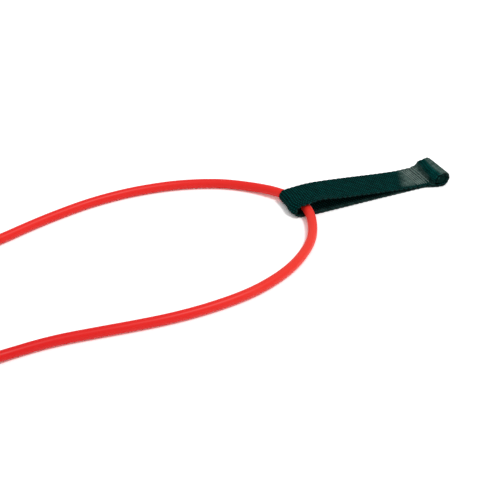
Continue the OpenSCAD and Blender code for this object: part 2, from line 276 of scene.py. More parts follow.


# Polypropylene webbing, woven from bulked filament yarn: near-black green, dull, paler where it is worn.
# Its colour follows the weave's relief: painted shade in the crevices, painted highlight on the crowns
def wovenWebbing(name, creviceShade, yarn, crown, worn):
    finish, tree, shader = newFinish(name, {"IOR": 1.49, "Roughness": 0.75, "Specular IOR Level": 0.02})
    place = {"Vector": addNode(tree, "UVMap", {"uv_map": "millimetres"}).outputs["UV"]}
    relief = addNode(tree, "Attribute", {"attribute_name": "relief"})
    # the wear number is real wear; on the anchor it also carries painted light on the roll's top and the
    # lower layer's near edge
    wear = addNode(tree, "Attribute", {"attribute_name": "wear"})
    # handling darkens and matts it in patches of 6 mm
    patches = addNode(tree, "TexNoise", {"Scale": 1 / 6.25, "Detail": 4}, place)
    # filaments are about 0.05 mm wide; they are drawn 0.35 mm apart, so that they show
    drawn = addNode(tree, "Mapping", {"Scale": (1 / 2, 1 / 0.345, 1)}, place)
    filaments = addNode(tree, "TexNoise", {"Scale": 1.0, "Detail": 2}, {"Vector": drawn.outputs[0]})
    shift = addNode(tree, "MapRange", {"To Min": -0.2, "To Max": 0.2}, {"Value": patches.outputs["Fac"]})
    tone = addNode(tree, "Math", {"operation": "ADD"}, {0: relief.outputs["Fac"], 1: shift.outputs["Result"]})
    # painted shade and painted highlight: near-black in the weave's crevices, lighter on its rib crowns
    colour = addNode(tree, "ValToRGB", None, {"Fac": tone.outputs[0]})
    colourStops(colour, (0.08, creviceShade), (0.6, yarn), (1.0, crown))
    # worn yarn is matted: paler in patches, and a little also between the ribs
    fuzz = addNode(tree, "Math", {"operation": "MULTIPLY"},
                   {0: filaments.outputs["Fac"], 1: wear.outputs["Fac"]})
    uneven = addNode(tree, "MapRange", {"From Min": 0.35, "From Max": 0.65, "To Min": 0.6, "To Max": 2.0},
                     {"Value": patches.outputs["Fac"]})
    matted = addNode(tree, "Math", {"operation": "MULTIPLY_ADD", 1: 0.6, 2: 0.4}, {0: relief.outputs["Fac"]})
    frayed = addNode(tree, "Math", {"operation": "MULTIPLY"},
                     {0: uneven.outputs["Result"], 1: matted.outputs[0]})
    onTop = addNode(tree, "Math", {"operation": "MULTIPLY", "use_clamp": True},
                    {0: fuzz.outputs[0], 1: frayed.outputs[0]})
    pale = addNode(tree, "Mix", {"data_type": "RGBA", 7: linear(worn)},
                   {0: onTop.outputs[0], 6: colour.outputs["Color"]})
    streaked = addNode(tree, "Mix", {"data_type": "RGBA", "blend_type": "MULTIPLY", 0: 0.3},
                       {6: pale.outputs[2], 7: filaments.outputs["Color"]})
    bump = addNode(tree, "Bump", {"Strength": 0.5, "Distance": 0.2 * mm},
                   {"Height": filaments.outputs["Fac"]})
    feed(tree, shader, {"Base Color": streaked.outputs[2], "Normal": bump.outputs["Normal"]})
    return finish


# Bonded polyester thread, twisted from three plies: slanting plies with a slight shine, and painted shade
# in the grooves between the plies, with the plies' tops painted lighter
def twistedThread(name, dark, light):
    finish, tree, shader = newFinish(name, {"IOR": 1.55, "Roughness": 0.5, "Specular IOR Level": 0.4,
                                            "Sheen Weight": 0.15, "Sheen Roughness": 0.4})
    ply = addNode(tree, "Attribute", {"attribute_name": "ply"})
    where = {"Vector": addNode(tree, "TexCoord").outputs["Object"]}
    # filaments are about 0.02 mm wide; they are drawn 0.25 mm apart, so that they show
    hairs = addNode(tree, "TexNoise", {"Scale": scaleFor(0.25), "Detail": 2}, where)
    tone = addNode(tree, "Math", {"operation": "MULTIPLY_ADD", 1: 0.7},
                   {0: ply.outputs["Fac"], 2: hairs.outputs["Fac"]})
    # painted shade: darker in the grooves between the plies, lighter on their tops
    colour = addNode(tree, "ValToRGB", None, {"Fac": tone.outputs[0]})
    colourStops(colour, (0.35, dark), (1.0, light))
    bump = addNode(tree, "Bump", {"Strength": 0.4, "Distance": 0.1 * mm}, {"Height": hairs.outputs["Fac"]})
    feed(tree, shader, {"Base Color": colour.outputs["Color"], "Normal": bump.outputs["Normal"]})
    return finish


# Foam, blown in a mould and sanded: fine cut cells all over and no shine
def blownFoam(name, cell, skin, worn, cellSize):
    finish, tree, shader = newFinish(name, {"IOR": 1.5, "Roughness": 0.9, "Specular IOR Level": 0.04})
    where = {"Vector": addNode(tree, "TexCoord").outputs["Object"]}
    # cells are about 0.2 mm wide; they are drawn several times that, so that they show
    cells = addNode(tree, "TexVoronoi", {"Scale": scaleFor(cellSize)}, where)
    # the sanding leaves a grain of 2 mm, and hands darken patches of 42 mm
    grain = addNode(tree, "TexNoise", {"Scale": scaleFor(2), "Detail": 4, "Roughness": 0.7}, where)
    handled = addNode(tree, "TexNoise", {"Scale": scaleFor(41.7), "Detail": 3}, where)
    depth = addNode(tree, "Math", {"operation": "MULTIPLY_ADD", 1: 0.7},
                    {0: cells.outputs["Distance"], 2: grain.outputs["Fac"]})
    tone = addNode(tree, "Math", {"operation": "MULTIPLY_ADD", 1: 0.8},
                   {0: handled.outputs["Fac"], 2: depth.outputs[0]})
    colour = addNode(tree, "ValToRGB", None, {"Fac": tone.outputs[0]})
    colourStops(colour, (0.85, cell), (0.9167, skin), (1.0, worn))
    bump = addNode(tree, "Bump", {"Strength": 0.6, "Distance": 0.4 * mm, "invert": True},
                   {"Height": depth.outputs[0]})
    feed(tree, shader, {"Base Color": colour.outputs["Color"], "Normal": bump.outputs["Normal"]})
    return finish


# Polypropylene, moulded in a spark-eroded tool: fine even grain, a little scuffed
def mouldedPlastic(name, plain, scuffed):
    finish, tree, shader = newFinish(name, {"IOR": 1.49, "Specular IOR Level": 0.45})
    where = {"Vector": addNode(tree, "TexCoord").outputs["Object"]}
    # the tool's grain is about 0.1 mm; it is drawn 0.5 mm, so that it shows
    grain = addNode(tree, "TexNoise", {"Scale": scaleFor(0.5), "Detail": 2}, where)
    # scuffs come in patches of 12 mm
    scuffs = addNode(tree, "TexNoise", {"Scale": scaleFor(12.5), "Detail": 6, "Roughness": 0.75}, where)
    colour = addNode(tree, "ValToRGB", None, {"Fac": scuffs.outputs["Fac"]})
    colourStops(colour, (0.40, plain), (0.75, scuffed))
    gloss = addNode(tree, "MapRange", {"To Min": 0.34, "To Max": 0.58}, {"Value": scuffs.outputs["Fac"]})
    bump = addNode(tree, "Bump", {"Strength": 0.2, "Distance": 0.1 * mm}, {"Height": grain.outputs["Fac"]})
    feed(tree, shader, {"Base Color": colour.outputs["Color"], "Roughness": gloss.outputs["Result"],
                        "Normal": bump.outputs["Normal"]})
    return finish


# Brass, pressed, barrel-polished and nickel-plated: bright, warm grey, with fine random scratches
def platedNickel(name, tarnished, bright):
    finish, tree, shader = newFinish(name, {"Metallic": 1.0})
    where = {"Vector": addNode(tree, "TexCoord").outputs["Object"]}
    # scratches are a few hundredths of a millimetre wide; they are drawn as streaks of 1.4 x 0.2 mm,
    # so that they show, and the tarnish lies in patches of 6 mm
    stretched = addNode(tree, "Mapping", {"Scale": (1, 1, 7)}, where)
    scratches = addNode(tree, "TexNoise", {"Scale": scaleFor(1.43), "Detail": 5, "Roughness": 0.8},
                        {"Vector": stretched.outputs[0]})
    tarnish = addNode(tree, "TexNoise", {"Scale": scaleFor(5.88), "Detail": 3}, where)
    colour = addNode(tree, "ValToRGB", None, {"Fac": tarnish.outputs["Fac"]})
    colourStops(colour, (0.35, tarnished), (0.65, bright))
    gloss = addNode(tree, "MapRange", {"From Min": 0.35, "From Max": 0.75, "To Min": 0.16, "To Max": 0.38},
                    {"Value": scratches.outputs["Fac"]})
    bump = addNode(tree, "Bump", {"Strength": 0.08, "Distance": 0.1 * mm},
                   {"Height": scratches.outputs["Fac"]})
    feed(tree, shader, {"Base Color": colour.outputs["Color"], "Roughness": gloss.outputs["Result"],
                        "Normal": bump.outputs["Normal"]})
    return finish


# the first and third colours are painted shade in the weave's crevices and painted highlight on its crowns;
# yarn is its own colour, worn its real wear
webbingColours = {"creviceShade": "#000101", "yarn": "#001716", "crown": "#02534f", "worn": "#7d938b"}
rubber = extrudedRubber("extruded_latex_rubber", "#df1214", "#ed251f", "#f23a2d")
anchorWebbing = wovenWebbing("woven_polypropylene_webbing", **webbingColours)
handleWebbing = wovenWebbing("woven_polypropylene_tape", **webbingColours)
anchorThread = twistedThread("twisted_polyester_thread", "#4a5b56", "#7f908a")
handleThread = twistedThread("twisted_polyester_thread_dark", "#101f1e", "#3c5551")
gripFoam = blownFoam("blown_nitrile_foam", "#0a0b0c", "#191b1d", "#2b2d30", 0.9)
coreFoam = blownFoam("blown_polyethylene_foam", "#000504", "#01130f", "#042420", 1.2)
plastic = mouldedPlastic("moulded_polypropylene", "#0b0c0e", "#1c1e21")
nickel = platedNickel("pressed_nickel_plate", "#aeaa9e", "#cfccc4")
print("finishes made")

# The camera stands above the near side, as a person looks at a table
cameraView = {
    "place": (-0.3871, -0.7897, 0.6038),  # metres
    "down": 37.02,  # degrees below the horizon
    "turn": -22.68,  # degrees about the vertical
    "roll": 0.137,  # degrees about the line of sight
    "lens": 72.0,  # mm
    "sensor": 36.0,
}
cameraData = bpy.data.cameras.new("camera")
cameraData.lens = cameraView["lens"]
cameraData.sensor_width = cameraView["sensor"]
camera = bpy.data.objects.new("camera", cameraData)
camera.location = cameraView["place"]
turned = [Matrix.Rotation(math.radians(angle), 3, axis) for angle, axis in
          ((cameraView["turn"], "Z"), (90 - cameraView["down"], "X"), (cameraView["roll"], "Z"))]
camera.rotation_euler = (turned[0] @ turned[1] @ turned[2]).to_euler()
bpy.context.scene.collection.objects.link(camera)
bpy.context.scene.camera = camera
print("camera made")

# Elastic tube, along the smooth spline that the points of its route draw, as in the frame
floorZ, crossZ, handleZ = 0.005, 0.0076, 0.0165  # metres: on the surface, in the anchor, at a handle


def rise(top, share):  # part of the way up from the surface
    return floorZ + share * (top - floorZ)


tubeRoute = [
    (-0.416, 0.040, handleZ), (-0.390, 0.040, handleZ), (-0.363, 0.042, rise(handleZ, 0.8)),
    (-0.338, 0.048, rise(handleZ, 0.3)), (-0.312, 0.054, floorZ), (-0.287, 0.063, floorZ),
    (-0.263, 0.071, floorZ), (-0.237, 0.078, floorZ), (-0.211, 0.084, floorZ), (-0.185, 0.087, floorZ),
    (-0.159, 0.088, floorZ), (-0.133, 0.086, floorZ), (-0.107, 0.082, floorZ), (-0.081, 0.074, floorZ),
    (-0.058, 0.064, floorZ), (-0.037, 0.049, floorZ), (-0.018, 0.030, rise(crossZ, 0.8)),
    (-0.004, 0.008, crossZ), (0.003, -0.016, crossZ), (-0.004, -0.041, rise(crossZ, 0.4)),
    (-0.016, -0.065, floorZ), (-0.035, -0.084, floorZ), (-0.055, -0.099, floorZ), (-0.080, -0.111, floorZ),
    (-0.105, -0.119, floorZ), (-0.131, -0.123, floorZ), (-0.157, -0.125, floorZ), (-0.184, -0.125, floorZ),
    (-0.210, -0.123, floorZ), (-0.236, -0.120, floorZ), (-0.262, -0.117, floorZ), (-0.288, -0.114, floorZ),
    (-0.315, -0.114, floorZ), (-0.341, -0.116, floorZ), (-0.367, -0.120, rise(handleZ, 0.3)),
    (-0.393, -0.122, rise(handleZ, 0.8)), (-0.420, -0.122, handleZ), (-0.446, -0.122, handleZ)]
tube = {
    "diameter": 10.0,  # mm
    "bore": 5.0,
    "boreDepth": 14.5,  # a little deeper than a plug's stem
    "edge": 0.4,  # rounding of the cut ends
    "unevenness": 0.03,  # of its radius, as extruded
    "waves": (9.7, 23.0, 5.3),  # mm, the lengths of its uneven stretches over 2 pi
    "perSpan": 12,  # rings between two points of the route
    "sides": 48,
    # painted light along the tube, strongest round its bend by the anchor: mm from its first end, and how
    # much
    "paintedLightAt": (0, 420, 540, 620, 740, 860),
    "dust": (0.5, 0.5, 0.85, 0.7, 0.4, 0.1),
}


def splineAlong(route, perSpan):
    knots = np.array(route) / mm
    knots = np.concatenate([[2 * knots[0] - knots[1]], knots, [2 * knots[-1] - knots[-2]]])
    found = []
    for i in range(len(route) - 1):
        for f in np.arange(perSpan) / perSpan:
            weights = [(1 - f) ** 3, 3 * f ** 3 - 6 * f ** 2 + 4, 3 * f * (1 + f - f * f) + 1, f ** 3]
            found.append(np.array(weights) @ knots[i:i + 4] / 6)
    return np.array([*found, knots[-2]])


def tubeRings():
    centres = splineAlong(tubeRoute, tube["perSpan"])
    heading = unit(np.gradient(centres, axis=0))
    side = unit(np.cross(heading, [0, 0, 1]))
    up = np.cross(side, heading)
    turns = np.arange(tube["sides"]) / tube["sides"] * 2 * math.pi
    spokes = np.cos(turns)[None, :, None] * side[:, None] + np.sin(turns)[None, :, None] * up[:, None]
    radius, bore, edge = tube["diameter"] / 2, tube["bore"] / 2, tube["edge"]
    s = pathLength(centres)[:, None]
    first, second, third = tube["waves"]
    wave = np.sin(s / first) * np.sin(s / second + 2 * turns) + np.sin(s / third + turns)  # -2 to 2
    rings = centres[:, None] + (radius + tube["unevenness"] * (wave - 2) / 4)[..., None] * spokes
    profile = [(tube["boreDepth"], bore), (tube["boreDepth"] / 2, bore), (edge, bore), (0, bore + edge)]
    profile += [(edge * (1 - math.sin(a)), radius - edge * (1 - math.cos(a)))
                for a in np.radians([90, 60, 30, 0])]
    start, stop = (np.array([centres[k] + depth * inward + r * spokes[k] for depth, r in profile])
                   for k, inward in ((0, heading[0]), (-1, -heading[-1])))
    return centres, np.concatenate([start, rings[1:-1], stop[::-1]])


tubeLine, rings = tubeRings()
# painted light along the tube, from the numbers set for it
dust = np.interp(pathLength(rings.mean(1)), tube["paintedLightAt"], tube["dust"])
dust = np.repeat(dust[:, None], tube["sides"], 1)
tubeSkin = addPiece("tube_skin", [skinOf(rings, dust=dust)], "root", rubber, "tube_rubber", "tube")
print("tube made, %.3f m long" % (pathLength(tubeLine)[-1] * mm))

# Webbing: a flat section that follows a line, with woven ribs and looped edges
weave = {
    "samples": 6,  # points a rib, along and across
    "wide": 0.72,  # share of a column that the wide warp yarn takes; a narrow binder takes the rest
    "relief": 0.26,  # mm that a rib stands up
    "side": 0.6,  # heights, as shares of that: the yarn's sides, the binder, and an edge loop's foot and top
    "binder": 0.8,
    "loopFoot": 0.3,
    "loopTop": 0.75,
    "flatAcross": 0.35,  # powers that flatten a yarn's top, across and along
    "flatAlong": 0.7,
    "scallop": 0.26,  # of a rib: how far the edge goes in and out with the loops of the weft
    "underShift": (0.5, 0.8),  # of a rib, along and across: the lower face's ribs against the upper one's
    "rimWear": 0.06,  # the rims are worn paler than the rest
}


def weaveHeight(along, across, rib):  # 0 in a crevice, 1 on top of a rib
    column = across / rib % 1
    wide = column < weave["wide"]
    inYarn = np.where(wide, column / weave["wide"], (column - weave["wide"]) / (1 - weave["wide"]))
    bulge = np.clip(1 - (2 * inYarn - 1) ** 2, 0, 1) ** weave["flatAcross"]
    crown = weave["side"] + (1 - weave["side"]) * bulge
    hump = np.abs(np.sin(math.pi * (along / rib + np.where(wide, 0, 0.5)))) ** weave["flatAlong"]
    return crown * hump * np.where(wide, 1, weave["binder"])


# places is a line of points with its two directions, distance runs along it, and bend moves the rings
def webbingSkin(places, outward, sideways, distance, width, thickness, rib, wear, bend=None):
    full = np.max(thickness)
    rows = int(round((width - full) / (rib / weave["samples"])))
    flat = np.linspace(-0.5, 0.5, rows + 1) * (width - full)
    edge = np.radians([60, 30, 0, -30, -60])
    plain, reach = np.zeros(rows + 1), (width - full) / 2
    across = np.concatenate([flat, np.full(5, reach), flat[::-1], np.full(5, -reach)])
    high = np.concatenate([plain + 1, np.sin(edge), plain - 1, np.sin(edge[::-1])])
    wide = np.concatenate([plain, np.cos(edge), plain, -np.cos(edge)])
    s, w = distance[:, None], across[None]
    half = np.broadcast_to(thickness, distance.shape)[:, None] / 2
    loops = np.abs(np.sin(math.pi * s / (2 * rib)))
    underS, underW = (share * rib for share in weave["underShift"])
    onFace = np.where(high > 0, weaveHeight(s, w, rib), weaveHeight(s + underS, w + underW, rib))
    onRim = weave["loopFoot"] + (weave["loopTop"] - weave["loopFoot"]) * loops
    relief = np.where(wide == 0, onFace, onRim)
    h = high * (half - weave["relief"] * half / full * 2 * (1 - relief))
    out = wide * (half + weave["scallop"] * rib * (loops - 0.5))
    rings = places[:, None] + h[..., None] * outward[:, None] + (w + out)[..., None] * sideways[:, None]
    wear = np.broadcast_to(wear, distance.shape)[:, None] + weave["rimWear"] * (wide != 0)
    return skinOf(rings if bend is None else bend(rings), relief=relief, wear=wear + 0 * relief)


# A stitch: a short length of plied thread whose ends dip into the webbing
sewing = {
    "plies": 3,
    "lay": 3.2,  # mm of thread to one turn of its twist
    "groove": 0.14,  # shares of the thread's radius: between its plies, and how much thinner its ends are
    "thinner": 0.25,
    "dip": 1.1,  # and how far its ends go down
    "lift": 0.05,  # mm that its middle stands up
}


def stitchSkin(middle, along, up, length, radius, sides=12, rings=15):
    t = np.linspace(-1, 1, rings)[:, None]
    along, up = unit(np.array(along, float)), unit(np.array(up, float))
    line = middle + along * length / 2 * np.sign(t) * np.abs(t) ** 0.85
    line = line + up * (sewing["lift"] - sewing["dip"] * radius * np.abs(t) ** 5)
    turns = np.arange(sides) / sides * 2 * math.pi
    twist = t * length * math.pi / sewing["lay"] + chance.uniform(0, 6)
    ply = 0.5 + 0.5 * np.cos(sewing["plies"] * (turns - twist))
    spread = 1 - sewing["groove"] + sewing["groove"] * ply
    spread = radius * spread * (1 - sewing["thinner"] * np.abs(t) ** 6)
    side = np.cross(along, up)
    spokes = np.cos(turns)[:, None] * side + np.sin(turns)[:, None] * up
    return skinOf(line[:, None] + spread[..., None] * spokes, ply=ply)


# Door anchor: one length of webbing. From its hem it goes over the roll, along the surface, round the
# fold, back over itself and round again inside the roll. A pair of numbers says where something comes
# on and over how much further, in mm, or in degrees round the roll: -90 under it and 90 on its top
stopperAt = centreOf("anchor_stopper_core") + [0.6, 0, 0]  # the roll is loose and lies a little further out
anchor = {
    "width": 38.0,  # mm
    "thickness": 1.6,
    "rib": 2.9,
    "loopRadius": 6.0,  # inside of the fold
    "foldSkew": 10.0,  # degrees from square: the fold lies along the tube
    "foldOut": 2.9,  # how far the fold bulges past its line, and across the webbing where and how widely
    "foldOutAt": (-9.5, 8.5),
    "foldShift": 0.7,  # how far the fold lies nearer, and along the strap where that ends
    "foldShiftOff": (10.0, 80.0),
    "foldNarrow": 2.3,  # how far the far edge is drawn towards the middle at the fold
    "foldNarrowSide": (6.0, 13.0),
    "farIn": 1.6,  # how far the fold's far corner stands in
    "settled": 36.0,  # length over which the layers go back to their line
    "bulge": 2.8,  # the upper layer's crest above the fold
    "crestAt": 0.23,  # as in the frame: shares of the slope's length and height
    "footAt": 0.64,
    "footHeight": 0.42,
    "edgeLift": 2.3,  # the upper layer's near edge stands up beside the tube: how high, and where
    "edgeLiftAt": (14.0, 14.0),
    "edgeLiftSide": (8.0, 11.0),
    "lowerOut": 0.6,  # how far the lower layer's near edge shows past the upper one's, from the fold on,
    "lowerOn": (0.0, 20.0),
    "lowerOff": (10.0, 12.0),  # as far as this before the roll
    "lowerSide": (10.0, 8.0),
    "seam": 19.0,  # length of the sewn part, in front of the roll
    "rollNear": 17.8,  # half widths: the webbing is drawn in a little where it is rolled
    "rollFar": 17.0,
    "loose": 0.35,  # the outer turn's radius past a tight one
    "skew": 5.0,  # degrees that the roll and the sewn part lie from square
    "nearEdge": (-24.0, 26.0),  # the edges move over to the roll's skew, from this far before its axis
    "farEdge": (-8.0, 22.0),
    "hem": 4.0,  # thinned end of the outer turn, sewn down in front of the roll
    "hemThin": 0.2,  # of the thickness, at its very end
    "hemRadius": 3.2,
    "hemPlace": 60.0,  # the place that the whole hem is given, well past any on the roll
    "hemLean": 0.15,  # sideways slope of the hem's line against the roll
    "hemFrom": (26.0, 13.0),  # past the roll's axis, the outer turn is on its way to the hem
    "hemNear": 0.6,  # shares of the roll's turn and shift that the hem's two edges take
    "hemFar": 0.15,
    "hemFill": 1.2,  # towards the far edge the hem climbs straighter up the roll
    "hemFillAt": (7.5, 4.0),
    "hemFillSide": (-5.0, 20.0),
    "shoulderIn": 2.6,  # how far the roll's far shoulder stands in along the strap, and where
    "shoulderTurn": (90.0, 60.0),
    "shoulderSide": (-2.0, 16.0),
    "shoulderNarrow": 1.8,  # and across it
    "narrowOff": (165.0, 25.0),
    "narrowSide": (5.0, 13.0),
    "innerEnd": 200.0,  # degrees, from the far side of the roll
    "flankLight": 0.45,  # painted light: on the roll's left flank, the crowns' lighter tone lifts its shade
    "flankLightTurn": (95.0, 20.0),
    # wear: of the roll's top, its back and the hem; of the sewn part, from a line that slants over it.
    # The roll's top also carries painted sheen, paler where light falls on it, and the lower layer's near
    # edge carries painted light where the upper layer shades it. The hem's near edge is the cleanest
    "topWearAndSheen": 0.62,
    "topWearAndSheenOn": (-10.0, 40.0),
    "topWearAndSheenOff": (105.0, 30.0),
    "backWear": 0.35,
    "backWearOn": (175.0, 30.0),
    "hemWear": 0.65,
    "sewnWear": 0.72,
    "sewnWearOn": (118.0, 12.0),
    "sewnWearSlant": 0.44,
    "sewnWearSide": (-17.0, 6.0),
    # painted light on the lower layer's near edge, where the upper layer shades it
    "lowerEdgeLight": 0.15,
    "lowerEdgeLightSide": (12.0, 5.0),
    "cleanHem": 0.85,
    "cleanHemTurn": 160.0,
    "cleanHemSide": (9.0, 5.0),
}
foldOffset = anchor["width"] / 2 * math.tan(math.radians(anchor["foldSkew"]))
foldX = boxOf("anchor_strap")[0][0] + foldOffset + anchor["thickness"] + anchor["loopRadius"]


def hemThickness(fromEnd):
    share = anchor["hemThin"] + (1 - anchor["hemThin"]) * smoothStep(fromEnd / anchor["hem"])
    return anchor["thickness"] * share


# The webbing's line in x and z, with two more columns: the place along it from the roll's axis,
# and how far a point belongs to the hem
def anchorLine():
    t, (rollX, _, rollZ) = anchor["thickness"], stopperAt
    inner, loop, loose = rollZ - 3 * t / 2, anchor["loopRadius"], anchor["loose"]
    seamX = rollX - rollZ - anchor["seam"]
    outer, outerX, outerZ = rollZ - t / 2 + loose, rollX + loose, rollZ + loose
    hemR, hemZ, hemPlace = anchor["hemRadius"], 5 * t / 2, anchor["hemPlace"]
    lift = hemZ + hemR - outerZ
    hemX = outerX - math.sqrt((outer + hemR) ** 2 - lift ** 2)
    leave = math.degrees(math.atan2(-lift, outerX - hemX))  # direction from the hem's arc to the roll
    bendSteps, turnSteps = 24, 160
    bend = arc((hemX, hemZ + hemR), hemR, -90, leave, bendSteps)
    turn = np.linspace(180 + leave, -90, turnSteps)
    pieces = [
        np.array([[hemX - anchor["hem"], hemZ, hemPlace, 1], [hemX, hemZ, hemPlace, 1]]),
        np.column_stack([bend, np.full(bendSteps, hemPlace), 1 - smoothStep(np.linspace(0, 1, bendSteps))]),
        np.column_stack([arc((outerX, outerZ), outer, turn[0], turn[-1], turnSteps),
                         outer * np.radians(turn + 90), 0 * turn]),
        np.array([[foldX, t / 2, foldX - rollX, 0]])]
    fold = arc((foldX, t + loop), loop + t / 2, -90, -270, 60)
    length, height = seamX - foldX, loop + anchor["bulge"]
    pull = np.array([[foldX, t + 2 * loop], [foldX + anchor["crestAt"] * length, t + loop + height],
                     [foldX + anchor["footAt"] * length, t + anchor["footHeight"] * height], [seamX, t]])
    u = np.linspace(0, 1, 200)[:, None]
    slope = (1 - u) ** 3 * pull[0] + 3 * (1 - u) ** 2 * u * pull[1]
    slope += 3 * (1 - u) * u * u * pull[2] + u ** 3 * pull[3]
    run = unit(np.gradient(slope, axis=0))
    slope = slope + t / 2 * np.stack([-run[:, 1], run[:, 0]], 1)
    for line in (fold, slope):
        pieces.append(np.column_stack([line, line[:, 0] - rollX, 0 * line[:, 0]]))
    turn = np.linspace(-90, anchor["innerEnd"], turnSteps)
    pieces.append(np.column_stack([arc((rollX, rollZ), inner, -90, turn[-1], turnSteps),
                                   inner * np.radians(turn + 90), 0 * turn]))
    return np.concatenate(pieces)


def anchorSkin():
    t, halfWidth = anchor["thickness"], anchor["width"] / 2
    distance, line = evenly(anchorLine(), anchor["rib"] / weave["samples"])
    lineX, beyond, hem = line[:, 0], line[:, 2], line[:, 3]
    onHem = beyond > anchor["hemPlace"] - 5  # and on the bend up from it
    firstHalf = distance < distance[np.argmin(lineX)]  # the hem, the outer turn and the lower layer
    settle = fade(beyond, anchor["hemFrom"])
    edges = ((anchor["nearEdge"], anchor["hemNear"]), (anchor["farEdge"], anchor["hemFar"]))
    near, far = (np.where(onHem, share, fade(beyond, span) + (share - 1) * settle) for span, share in edges)
    thickness = hemThickness(distance)
    places = np.stack([lineX, 0 * beyond, line[:, 1]], 1)
    run = unit(np.gradient(places, axis=0))
    outward = np.stack([-run[:, 2], 0 * beyond, run[:, 0]], 1)
    places -= outward * (t - thickness)[:, None] / 2
    sideways = np.tile([0.0, -1.0, 0.0], (len(line), 1))
    # degrees round the roll, where the two turns' lines lie half a thickness in and one and a half
    rollTurn = beyond / (stopperAt[2] - t * np.where(firstHalf, 0.5, 1.5)) * 180 / math.pi - 90

    # the roll's top and upper right side: wear, and painted sheen where light falls on them
    wear = anchor["topWearAndSheen"] * fade(rollTurn, anchor["topWearAndSheenOn"])
    wear *= 1 - fade(rollTurn, anchor["topWearAndSheenOff"])
    wear += np.maximum(anchor["hemWear"] * hem, anchor["backWear"] * fade(rollTurn, anchor["backWearOn"]))
    wear = np.where(firstHalf & (beyond > 0), wear, 0)

    skewed = beyond < anchor["hemFrom"][0]  # the parts that aren't on their way down to the hem
    lower = firstHalf * fade(lineX - foldX, anchor["lowerOn"]) * fade(-beyond, anchor["lowerOff"])
    lift = anchor["edgeLift"] * bell(lineX, anchor["edgeLiftAt"]) * ~firstHalf
    fill = anchor["hemFill"] * bell(distance, anchor["hemFillAt"])
    climb = np.where(distance < anchor["hem"], hem * distance / anchor["hem"], beyond > 0)
    shoulder = fade(rollTurn, anchor["shoulderTurn"]) * climb
    narrow = anchor["shoulderNarrow"] * shoulder * (1 - fade(rollTurn, anchor["narrowOff"]))

    def bend(rings):
        x, y, z = rings[..., 0], rings[..., 1], rings[..., 2]
        nearness = np.clip(0.5 - y / anchor["width"], 0, 1)
        swing = near[:, None] * nearness + far[:, None] * (1 - nearness)
        # the roll lies askew, is shifted sideways and is a little narrower
        turn = np.radians(anchor["skew"]) * swing
        rolled = np.where(y < 0, anchor["rollNear"], anchor["rollFar"]) / halfWidth
        inRoll = y * (1 - (1 - rolled) * swing)
        fromAxis = x - stopperAt[0]
        across = fromAxis * np.sin(turn) + inRoll * np.cos(turn)
        along = stopperAt[0] + fromAxis * np.cos(turn) - inRoll * np.sin(turn)
        along -= anchor["hemLean"] * hem[:, None] * across
        across += stopperAt[1] * swing
        # the fold lies further askew, and its corners are drawn in round the tube
        along -= math.tan(math.radians(anchor["foldSkew"])) * y * (1 - swing) * skewed[:, None]
        atFold = 1 - smoothStep((x - foldX) / anchor["settled"])
        corner = anchor["farIn"] * np.clip(y / halfWidth, 0, 1) ** 1.5
        along += atFold * (corner - anchor["foldOut"] * bell(y, anchor["foldOutAt"]))
        across -= atFold * anchor["foldNarrow"] * fade(y, anchor["foldNarrowSide"])
        across -= anchor["foldShift"] * (1 - fade(x, anchor["foldShiftOff"]))
        # the layers' near edges, and the roll's far shoulder
        z = z + lift[:, None] * fade(-y, anchor["edgeLiftSide"])
        across -= anchor["lowerOut"] * lower[:, None] * fade(-y, anchor["lowerSide"])
        along += anchor["shoulderIn"] * shoulder[:, None] * fade(y, anchor["shoulderSide"])
        across -= narrow[:, None] * fade(y, anchor["narrowSide"])
        filled = fill[:, None] * fade(y, anchor["hemFillSide"])
        return np.stack([along, across, z], -1) + filled[..., None] * outward[:, None]

    skin = webbingSkin(places, outward, sideways, distance, anchor["width"], thickness, anchor["rib"],
                       wear, bend)

    def perPoint(values):  # one for each ring becomes one for each of its points
        return np.append(np.repeat(values, skin["sides"]), [0, 0])

    x, y, z = skin["points"].T
    relief, worn = skin["values"]["relief"], skin["values"]["wear"]
    # painted light: down the roll's left flank the colour moves towards the crowns' lighter tone, lifting its
    # shade
    flankLight = anchor["flankLight"] * firstHalf * fade(rollTurn, anchor["flankLightTurn"]) * ~onHem
    relief += perPoint(flankLight) * (1 - relief)
    clean = perPoint(firstHalf & (onHem | (rollTurn > anchor["cleanHemTurn"])))
    worn *= 1 - anchor["cleanHem"] * clean * fade(-y, anchor["cleanHemSide"])
    # painted light: the lower layer's near edge is painted paler where the upper layer shades it
    onFloor = z < 1.1 * t
    worn += anchor["lowerEdgeLight"] * onFloor * fade(-y, anchor["lowerEdgeLightSide"])
    sewn = fade(x - anchor["sewnWearSlant"] * y, anchor["sewnWearOn"]) * fade(y, anchor["sewnWearSide"])
    worn += anchor["sewnWear"] * sewn * perPoint(~firstHalf & (beyond < 0))
    return skin, distance[-1]


skin, anchorLength = anchorSkin()
hemLine = skin["points"][:skin["sides"]]
anchorStrap = addPiece("anchor_webbing", [skin], "door_anchor", anchorWebbing, "webbing", "anchor_strap")
print("anchor webbing made, %.0f mm long" % anchorLength)

anchorRows = {
    "rows": 6,
    "fromEnd": 3.0,  # mm from the end of the sewn part to its first row
    "margin": 1.5,  # left free at both edges
    "pitch": 3.6,
    "stitch": 3.3,  # its length
    "thread": 0.4,  # its radius
    "under": 0.8,  # of that radius, on the underside
    "wander": 0.03,  # of its length, that a stitch lies askew at most
}


